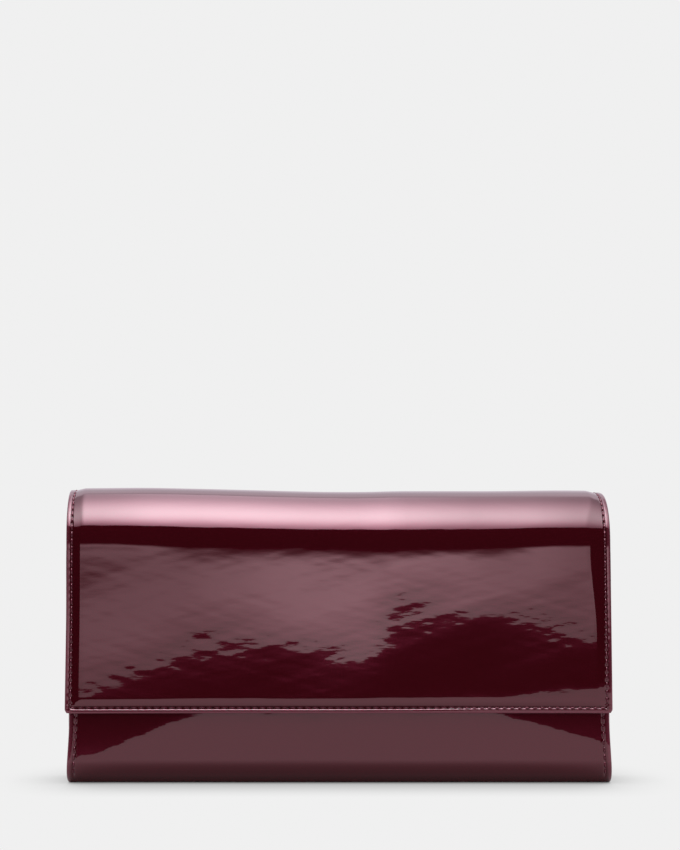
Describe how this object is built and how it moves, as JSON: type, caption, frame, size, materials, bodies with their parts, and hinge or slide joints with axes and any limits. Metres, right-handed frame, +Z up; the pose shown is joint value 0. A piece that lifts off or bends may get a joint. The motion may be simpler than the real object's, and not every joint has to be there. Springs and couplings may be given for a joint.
{
  "type": "long wallet",
  "caption": "Long flap wallet in glossy patent leather with card slots, two note pockets and a zipped coin pocket between pleated gussets.",
  "frame": {"origin": "middle of the base that the wallet stands on, half-way through its overall depth", "axes": "+X along the wallet to the right as seen from the front, +Y to the back, +Z up; the flap faces -Y"},
  "size_m": [0.1956, 0.028, 0.105],
  "materials": {
    "patent_leather": "mirror-gloss patent leather, dark wine red with a faint pearl",
    "lining": "fine twill lining, wine red, matt",
    "card_leather": "smooth calf leather, wine red, soft sheen",
    "board": "stiffening fibre board, hidden inside the linings",
    "thread": "waxed polyester thread, wine red",
    "zip_metal": "pale gold plated, polished",
    "zip_tape": "woven zip tape, dark wine red",
    "magnet": "plated sheet magnet, hidden"
  },
  "bodies": {
    "back": {"cover_back": "patent_leather", "board_back": "board", "board_base": "board", "lining_back": "lining", "lining_base": "lining", "rear_card_panel": "card_leather", "rear_card_strip_1": "card_leather", "rear_card_strip_2": "card_leather", "rear_card_strip_3": "card_leather", "rear_card_strip_4": "card_leather", "rear_divider_stitching": "thread", "gusset_left": "card_leather", "gusset_right": "card_leather", "stitching_back": "thread"},
    "front": {"cover_front": "patent_leather", "board_front": "board", "lining_front": "lining", "front_magnets": "magnet", "front_card_panel": "card_leather", "front_card_strip_1": "card_leather", "front_card_strip_2": "card_leather", "front_card_strip_3": "card_leather", "front_divider_stitching": "thread", "stitching_front": "thread"},
    "coin_pocket": {"pocket_wall_rear": "lining", "pocket_wall_front": "lining", "pocket_base": "lining", "pocket_end_left": "lining", "pocket_end_right": "lining", "pocket_welt_rear": "card_leather", "pocket_welt_front": "card_leather", "zip_tape_rear": "zip_tape", "zip_tape_front": "zip_tape", "zip_teeth_rear": "zip_metal", "zip_teeth_front": "zip_metal", "zip_stops": "zip_metal"},
    "zip_slider": {"zip_slider_body": "zip_metal", "zip_slider_bail": "zip_metal"},
    "zip_puller": {"puller_link": "zip_metal", "puller_tab": "card_leather", "puller_rivet": "zip_metal"},
    "flap_roll": {"roll_cover": "patent_leather", "roll_board": "board", "roll_lining": "lining", "stitching_roll": "thread"},
    "flap": {"flap_cover": "patent_leather", "flap_board": "board", "flap_lining": "lining", "flap_magnets": "magnet", "stitching_flap": "thread"}
  },
  "joints": [
    {"name": "spine_bend", "type": "hinge", "parent": "back", "child": "flap_roll", "pos_m": [0, 0.014, 0.084], "axis": [-1, 0, 0], "range_deg": [0, 90]},
    {"name": "flap_bend", "type": "hinge", "parent": "flap_roll", "child": "flap", "pos_m": [0, -0.014, 0.084], "axis": [-1, 0, 0], "range_deg": [0, 90]},
    {"name": "front_open", "type": "hinge", "parent": "back", "child": "front", "pos_m": [0, -0.0033, 0.008], "axis": [1, 0, 0], "range_deg": [0, 12], "deforming": ["gusset_left", "gusset_right"]},
    {"name": "pocket_open", "type": "hinge", "parent": "back", "child": "coin_pocket", "pos_m": [0, -0.0033, 0.008], "axis": [1, 0, 0], "range_deg": [0, 6]},
    {"name": "zip_slide", "type": "slide", "parent": "coin_pocket", "child": "zip_slider", "axis": [-1, 0, 0], "range_m": [0, 0.146]},
    {"name": "puller_swing", "type": "hinge", "parent": "zip_slider", "child": "zip_puller", "pos_m": [0.074, 0.0011, 0.08115], "axis": [0, 1, 0], "range_deg": [0, 180]}
  ],
  "couplings": [
    {"joint": "flap_bend", "follows": "spine_bend", "ratio": 1},
    {"joint": "front_open", "follows": "spine_bend", "ratio": 0.13333},
    {"joint": "pocket_open", "follows": "spine_bend", "ratio": 0.066666}
  ]
}
